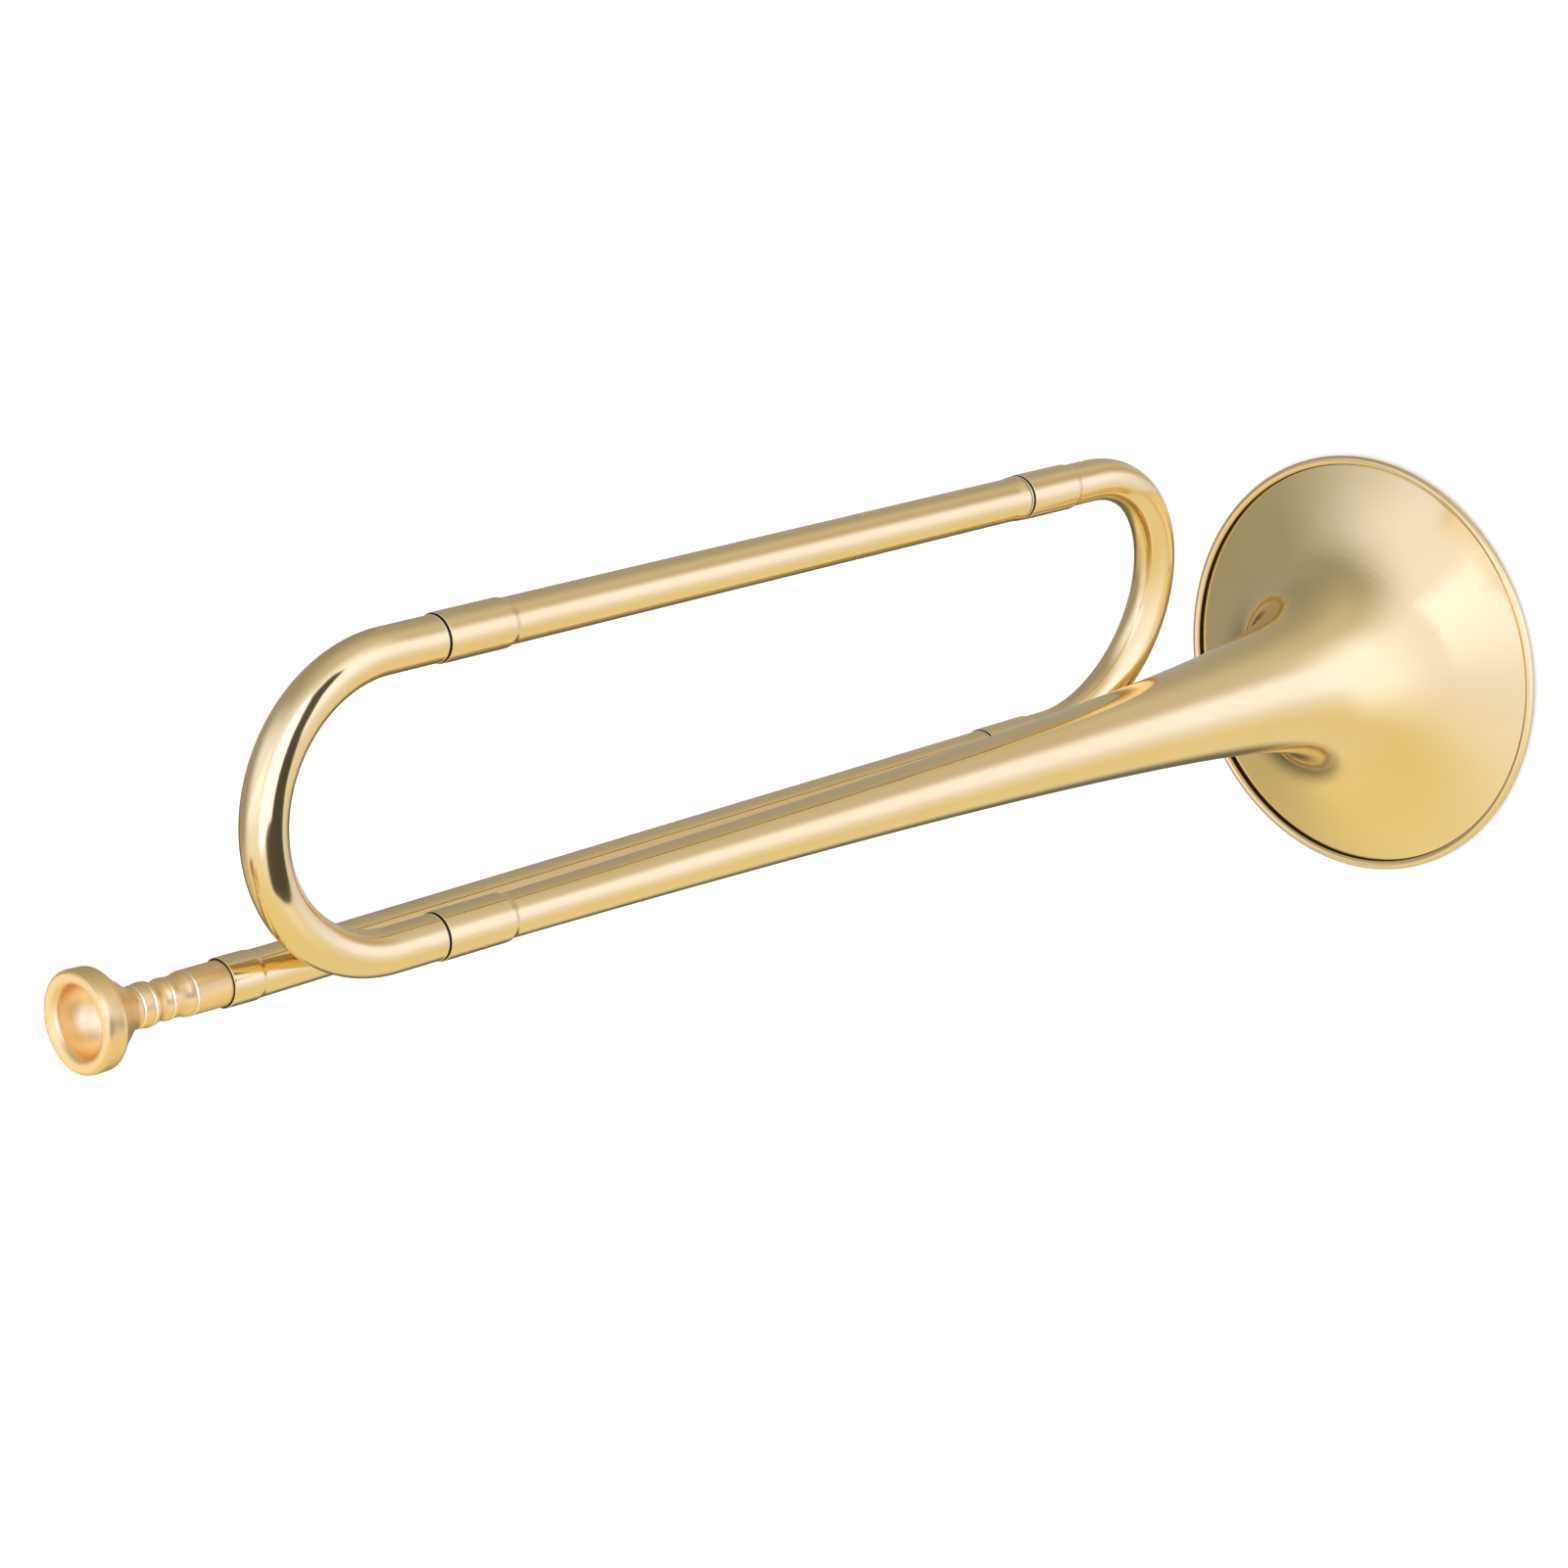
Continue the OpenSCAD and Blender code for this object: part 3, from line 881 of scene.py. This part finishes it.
class BUGLE_OT_lead_pipe(bpy.types.Operator):
    """Build the lead pipe with the receiver widened into its outer end"""

    bl_idname = "bugle.lead_pipe"
    bl_label = "Lead pipe"

    def execute(self, context):
        s = context.scene.bugle
        t, m = s.tube, s.mouth
        finish = materials(s.finish)
        tube = t.diameter / 2
        bore = tube - t.wall
        pipe, mouth = pipe_line(t), receiver_line(t, m)
        low = t.far_low - t.insert
        straight_end = m.kick_height - 3 * MM
        bent, swage, full = 1.2 * MM, 2.5 * MM, 4.2 * MM
        # Past the far socket's open end, and beside the bead, the pipe carries painted shade.
        rings = at_heights(pipe, [
            (low, tube - 0.1 * MM, 1.0), (low + 0.1 * MM, tube, 1.0),
            *far_painted_shade(t.far_low, tube), (t.far_low + 1.46 * MM, tube, 0.0),
            (straight_end, tube)])
        rings += at_heights(mouth, [
            (bent, tube + 0.03 * MM), (swage, tube + 0.06 * MM),
            *smooth_shoulder(swage, full, tube + 0.06 * MM, RECEIVER_OUT),
            (full, RECEIVER_OUT)])
        lip_out, lip_in = lip(m.receiver, RECEIVER_OUT, RECEIVER_IN)
        rings += at_heights(mouth, lip_out + lip_in)
        rings += at_heights(mouth, [
            (m.receiver - 1.5 * MM, RECEIVER_IN), (full, RECEIVER_IN),
            *smooth_shoulder(full, swage, RECEIVER_IN, bore), (bent, bore)])
        rings += at_heights(pipe, [(straight_end, bore), (low, bore)])
        skin("lead_pipe_drawn", rings, t.segments, "bugle", finish["Lacquered brass"],
             "lead_pipe")
        return {"FINISHED"}


# ---------------------------------------------------------------- mouthpiece


def curve_through(points, per_span):
    """Smooth curve through the points, each span cut into per_span parts."""
    out = []
    for i in range(len(points) - 1):
        p0 = Vector(points[max(i - 1, 0)])
        p1, p2 = Vector(points[i]), Vector(points[i + 1])
        p3 = Vector(points[min(i + 2, len(points) - 1)])
        for k in range(per_span):
            u = k / per_span
            out.append(tuple(
                0.5 * ((2 * p1) + (p2 - p0) * u + (2 * p0 - 5 * p1 + 4 * p2 - p3) * u * u
                       + (3 * p1 - p0 - 3 * p2 + p3) * u ** 3)))
    out.append(tuple(points[-1]))
    return out


def turned_line(depth, before, after):
    """Narrow burnished line turned into the surface: a steep step, then a slope back; its marked
    rows get a painted highlight.
    """
    return [(depth - 0.12, before, 0.0), (depth - 0.06, before - 0.40, 1.0),
            (depth, before - 0.42, 1.0), (depth + 0.55, after, 1.0), (depth + 0.60, after, 0.0)]


def mouthpiece_outline(m):
    """Outside of the mouthpiece in millimetres, (depth below the rim's face, radius)."""
    r = m.rim / 2 / MM
    end = (m.visible + m.shank) / MM
    seen = m.visible / MM
    cup = curve_through([
        (0.0, r - 1.5), (0.12, r - 0.9), (0.4, r - 0.45), (0.9, r - 0.15), (1.8, r - 0.01),
        (4.0, r - 0.05), (5.8, r - 0.15), (6.8, r - 0.7), (8.0, r - 1.9), (10.0, r - 3.65),
        (12.0, r - 5.1), (14.0, r - 6.7), (15.4, r - 7.6), (16.4, r - 7.95), (17.1, 5.55)], 4)
    neck = turned_line(17.4, 5.57, 5.66)
    neck += curve_through([(18.25, 5.67), (19.0, 5.75), (20.4, 5.9)], 3)
    neck += turned_line(20.75, 5.92, 5.92)
    neck += curve_through([(21.6, 5.91), (22.2, 5.8), (22.9, 5.45), (23.8, 5.15), (24.6, 5.1),
                           (25.4, 5.22), (26.2, 5.5), (26.5, 5.55)], 4)
    neck += turned_line(26.8, 5.57, 5.54)
    neck += curve_through([(27.65, 5.54), (28.3, 5.48), (29.2, 5.35), (30.6, 5.4), (31.6, 5.6),
                           (32.4, 5.85), (33.35, 6.0)], 4)
    neck += turned_line(33.7, 6.0, 6.03)
    barrel = [(34.6, 6.04), (35.5, 6.05), (seen - 0.5, 6.05), (seen + 9.2, 6.05),
              (seen + 11, 5.82), (end - 0.15, 5.45), (end, 5.3)]
    return cup + neck + barrel


def mouthpiece_inside(m):
    """Inside of the mouthpiece in millimetres, from the shank's end to the rim."""
    cup = m.cup / 2 / MM
    rim = m.rim / 2 / MM
    end = (m.visible + m.shank) / MM
    bite, depth, throat, shank_bore = 2.4, 11.0, 2.0, 4.65
    sweep = math.radians(82.8)
    rows = [(end, shank_bore), (depth + 14, throat + 0.6), (depth + 4, throat),
            (depth + 1.2, throat)]
    for i in range(CUP_STEPS, 0, -1):
        a = sweep * i / CUP_STEPS
        rows.append((bite + (depth - bite) * math.sin(a) / math.sin(sweep),
                     throat + (cup - throat) * math.cos(a)))
    rows += curve_through([(bite, cup), (1.65, cup + 0.2), (1.0, cup + 0.6), (0.5, cup + 1.15),
                           (0.14, rim - 2.4), (0.0, rim - 1.5)], 4)[:-1]
    return rows


class BUGLE_OT_mouthpiece(bpy.types.Operator):
    """Build the turned mouthpiece"""

    bl_idname = "bugle.mouthpiece"
    bl_label = "Mouthpiece"

    def execute(self, context):
        s = context.scene.bugle
        m = s.mouth
        finish = materials(s.finish)
        face = receiver_line(s.tube, m) @ shift(0, 0, m.receiver + m.visible)
        rows = [(-row[0] * MM, row[1] * MM, row[2] if len(row) > 2 else 0.0)
                for row in mouthpiece_outline(m)]
        # Inside the cup the mark has part strength: a glossier finish, and a paler colour as
        # painted highlight.
        cup_gloss_and_highlight, cup_top, cup_bottom = 0.35, 1, 12
        rows += [(-depth * MM, radius * MM, cup_gloss_and_highlight if cup_top < depth < cup_bottom else 0.0)
                 for depth, radius in mouthpiece_inside(m)]
        skin("mouthpiece_turned", at_heights(face, rows), MOUTHPIECE_SEGMENTS,
             "mouthpiece_body", finish["Turned rose brass"], "mouthpiece")
        return {"FINISHED"}


def bead_rings(place, z, r, size):
    """Closed round of rings for a bead of solder around a tube."""
    rings = []
    for i in range(SOLDER_ROWS):
        a = math.radians(360 * i / SOLDER_ROWS)
        rings.append((place @ shift(0, 0, z + size * math.sin(a)), r + size * math.cos(a), 0.0))
    return rings


class BUGLE_OT_solder(bpy.types.Operator):
    """Build the bead of solder at each joint and finish the pads between stem and pipe"""

    bl_idname = "bugle.solder"
    bl_label = "Solder"

    def execute(self, context):
        s = context.scene.bugle
        t = s.tube
        finish = materials(s.finish)
        tube = t.diameter / 2
        near_size, far_size, sunk = 0.14 * MM, 0.22 * MM, 0.3
        joints = {
            "solder_near_low": (Matrix.Identity(4), s.bell.stem_height, near_size),
            "solder_near_top": (mid_line(t), t.mid_socket, near_size),
            "solder_far_top": (mid_line(t), t.far_top, far_size),
            "solder_far_low": (pipe_line(t), t.far_low, far_size),
        }
        for name, (place, z, size) in joints.items():
            rings = bead_rings(place, z + SOLDER_GAP + size, tube - sunk * size, size)
            skin(name + "_bead", rings, t.segments, "bugle", finish["Solder"], name)
        for name in ("solder_pad_near", "solder_pad_far"):
            repaint(name, finish["Solder"])
        return {"FINISHED"}


# ---------------------------------------------------------------- stage


def studio_world(scene, s):
    """White room for the floor; for the metal a white panel between tan above and gold below.

    Directions are laid out flat around the one that looks back at the camera: `across` to the
    camera's right and `upward` to its top, from -2 to 2.
    """
    world = bpy.data.worlds.new("Studio")
    scene.world = world
    world.use_nodes = True
    t = world.node_tree
    t.nodes.clear()
    out = add(t, "ShaderNodeOutputWorld")
    direction = add(t, "ShaderNodeTexCoord").outputs["Generated"]
    back, up, right = camera_axes(s)
    rays = add(t, "ShaderNodeLightPath")

    def share(axis):
        dot = add(t, "ShaderNodeVectorMath", operation="DOT_PRODUCT")
        wire(t, direction, dot.inputs[0])
        dot.inputs[1].default_value = axis
        return dot.outputs["Value"]

    facing_share = sums(t, "MAXIMUM", sums(t, "ADD", share(back), 1.0), 0.001)
    widen = sums(t, "SQRT", sums(t, "DIVIDE", 2.0, facing_share))
    across = sums(t, "MULTIPLY", share(right), widen)
    upward = sums(t, "MULTIPLY", share(up), widen)
    edge = sums(t, "SQRT", sums(t, "ADD", sums(t, "MULTIPLY", across, across),
                                sums(t, "MULTIPLY", upward, upward)))

    def rise(value, low, high, to=1.0):
        return spread(t, value, low, high, 0.0, to)

    def fall(value, low, high, to=1.0):
        return spread(t, value, low, high, to, 0.0)

    def times(*values):
        out_value = values[0]
        for v in values[1:]:
            out_value = sums(t, "MULTIPLY", out_value, v)
        return out_value

    tan = mixed(t, rise(across, -0.9, 0.5), TAN_LEFT, TAN_RIGHT)
    tan = mixed(t, rise(upward, 1.15, 1.75, 0.6), tan, TAN_TOP)
    gold = mixed(t, rise(across, -0.6, 0.8), GOLD_LEFT, GOLD_RIGHT)
    gold = mixed(t, fall(across, -1.6, -1.0, 0.7), gold, GOLD_EDGE)
    ground = mixed(t, rise(upward, -0.65, -0.25), gold, tan)
    white = mixed(t, rise(across, -0.35, 0.8), WHITE_LEFT, WHITE_MID)
    white = mixed(t, rise(across, 0.9, 1.4), white, WHITE_RIGHT)
    white = mixed(t, rise(across, 1.4, 1.8), white, WHITE_END)
    cut = sums(t, "SUBTRACT", sums(t, "MULTIPLY", across, 0.517),
               sums(t, "MULTIPLY", upward, 0.856))
    wedge = times(rise(cut, -0.487, -0.447), fall(across, -0.42, -0.34), rise(upward, -0.5, 0.0))
    white = mixed(t, wedge, white, WEDGE)
    bowed = sums(t, "SUBTRACT", upward, sums(t, "ADD", rise(across, 0.2, 0.7, 0.16),
                                             fall(across, -0.8, -0.4, 0.10)))
    lower = sums(t, "SUBTRACT", upward, rise(across, 0.8, 1.3, 0.35))
    panel = times(fall(bowed, 0.22, 1.05), rise(lower, -1.2, -0.2), rise(across, -1.55, -0.95))
    color = mixed(t, panel, ground, white)
    rosy = times(rise(across, 0.8, 1.25), rise(upward, 0.42, 1.0), fall(upward, 1.05, 1.5))
    color = mixed(t, rosy, color, ROSY)
    rim_shade = times(rise(edge, 1.80, 1.94), fall(upward, -0.3, 0.6, 0.9))
    color = mixed(t, rim_shade, color, DARK_EDGE)
    boxes = add(t, "ShaderNodeBackground")
    wire(t, color, boxes.inputs["Color"])
    boxes.inputs["Strength"].default_value = 1.0
    even = add(t, "ShaderNodeBackground")
    even.inputs["Color"].default_value = (1.0, 1.0, 1.0, 1.0)
    even.inputs["Strength"].default_value = ROOM_WHITE
    pick = add(t, "ShaderNodeMixShader")
    wire(t, rays.outputs["Is Glossy Ray"], pick.inputs["Fac"])
    wire(t, even.outputs["Background"], pick.inputs[1])
    wire(t, boxes.outputs["Background"], pick.inputs[2])
    wire(t, pick.outputs["Shader"], out.inputs["Surface"])


def camera_axes(s):
    """Directions back toward the camera, to its top and to its right."""
    back = -Vector(s.look).normalized()
    up = Vector(s.top)
    up = (up - back * up.dot(back)).normalized()
    return back, up, up.cross(back)


def facing(place, toward):
    """Frame at a place whose z axis points along the given direction."""
    normal = Vector(toward).normalized()
    side = Vector((0, 0, 1)).cross(normal).normalized()
    turned = Matrix((side, normal.cross(side), normal)).transposed().to_4x4()
    turned.translation = Vector(place)
    return turned


def card(name, place, outline, glow, reach):
    """Flat board that only reflections see, from its front and within reach."""
    bm = bmesh.new()
    bm.faces.new([bm.verts.new(place @ Vector((x, y, 0))) for x, y in outline])
    board = as_object(name, bm)
    paint = bpy.data.materials.new(name)
    paint.use_nodes = True
    t = paint.node_tree
    t.nodes.clear()
    out = add(t, "ShaderNodeOutputMaterial")
    light = add(t, "ShaderNodeEmission")
    light.inputs["Color"].default_value = (*glow, 1.0)
    clear = add(t, "ShaderNodeBsdfTransparent")
    pick = add(t, "ShaderNodeMixShader")
    far = spread(t, add(t, "ShaderNodeLightPath").outputs["Ray Length"], reach, 1.2 * reach,
                 0.0, 1.0)
    hidden = sums(t, "MAXIMUM", add(t, "ShaderNodeNewGeometry").outputs["Backfacing"], far)
    wire(t, hidden, pick.inputs["Fac"])
    wire(t, light.outputs["Emission"], pick.inputs[1])
    wire(t, clear.outputs["BSDF"], pick.inputs[2])
    wire(t, pick.outputs["Shader"], out.inputs["Surface"])
    board.data.materials.append(paint)
    for ray in ("camera", "diffuse", "transmission", "volume_scatter", "shadow"):
        setattr(board, "visible_" + ray, False)


class BUGLE_OT_stage(bpy.types.Operator):
    """Set the camera, the pale floor and the soft studio light"""

    bl_idname = "bugle.stage"
    bl_label = "Stage"

    def execute(self, context):
        scene = context.scene
        s = scene.bugle.stage
        back, up, right = camera_axes(s)
        turned = Matrix((right, up, back)).transposed().to_4x4()
        turned.translation = Vector(s.eye)
        data = bpy.data.cameras.new("Camera")
        data.sensor_width = 36.0
        data.lens = s.lens
        data.clip_start, data.clip_end = 0.01, 100.0
        camera = bpy.data.objects.new("Camera", data)
        camera.matrix_world = turned
        scene.collection.objects.link(camera)
        scene.camera = camera
        scene.view_settings.view_transform = "Standard"

        bm = bmesh.new()
        bmesh.ops.create_grid(bm, x_segments=8, y_segments=8, size=s.floor / 2)
        floor = as_object("Floor", bm)
        floor.location.z = -0.2 * MM
        paint = bpy.data.materials.new("Floor paint")
        paint.use_nodes = True
        shader = paint.node_tree.nodes["Principled BSDF"]
        shader.inputs["Base Color"].default_value = (0.93, 0.93, 0.925, 1.0)
        shader.inputs["Roughness"].default_value = 0.9
        shader.inputs["Specular IOR Level"].default_value = 0.0
        floor.data.materials.append(paint)
        floor.visible_glossy = False
        studio_world(scene, s)
        gap = facing(GAP_PLACE, GAP_FACING)
        card("Gap across", gap, GAP_ACROSS, GAP_GLOW, ACROSS_REACH)
        card("Gap upright", gap, GAP_UPRIGHT, GAP_GLOW, UPRIGHT_REACH)
        card("White board", gap @ shift(0, 0, -BOARD_BEHIND), BOARD, BOARD_GLOW, BOARD_REACH)
        card("White leaf", facing(LEAF_PLACE, LEAF_FACING), LEAF, LEAF_GLOW, LEAF_REACH)
        return {"FINISHED"}


class BUGLE_PT_panel(bpy.types.Panel):
    """Panel that builds the bugle step by step"""

    bl_idname = "BUGLE_PT_panel"
    bl_label = "Natural Bugle"
    bl_space_type = "VIEW_3D"
    bl_region_type = "UI"
    bl_category = "Bugle"

    def draw(self, context):
        layout = self.layout
        s = context.scene.bugle
        for title, group in (("Bell", s.bell), ("Tubing", s.tube), ("Mouthpiece", s.mouth),
                             ("Finish", s.finish), ("Stage", s.stage)):
            box = layout.box()
            box.label(text=title)
            for name in group.__annotations__:
                box.prop(group, name)
        for step in STEPS:
            layout.operator(step.bl_idname)


SETTINGS = (BugleBellSettings, BugleTubeSettings, BugleMouthpieceSettings, BugleFinishSettings,
            BugleStageSettings, BugleSettings)
STEPS = (BUGLE_OT_stage, BUGLE_OT_bell, BUGLE_OT_near_bow, BUGLE_OT_mid_tube, BUGLE_OT_far_bow,
         BUGLE_OT_lead_pipe, BUGLE_OT_mouthpiece, BUGLE_OT_solder)
CLASSES = SETTINGS + STEPS + (BUGLE_PT_panel,)


def register():
    for c in CLASSES:
        bpy.utils.register_class(c)
    bpy.types.Scene.bugle = PointerProperty(type=BugleSettings)


def unregister():
    del bpy.types.Scene.bugle
    for c in reversed(CLASSES):
        bpy.utils.unregister_class(c)


def main():
    register()
    bpy.ops.bugle.stage()
    bpy.ops.bugle.bell()
    bpy.ops.bugle.near_bow()
    bpy.ops.bugle.mid_tube()
    bpy.ops.bugle.far_bow()
    bpy.ops.bugle.lead_pipe()
    bpy.ops.bugle.mouthpiece()
    bpy.ops.bugle.solder()


if __name__ == "__main__":
    main()
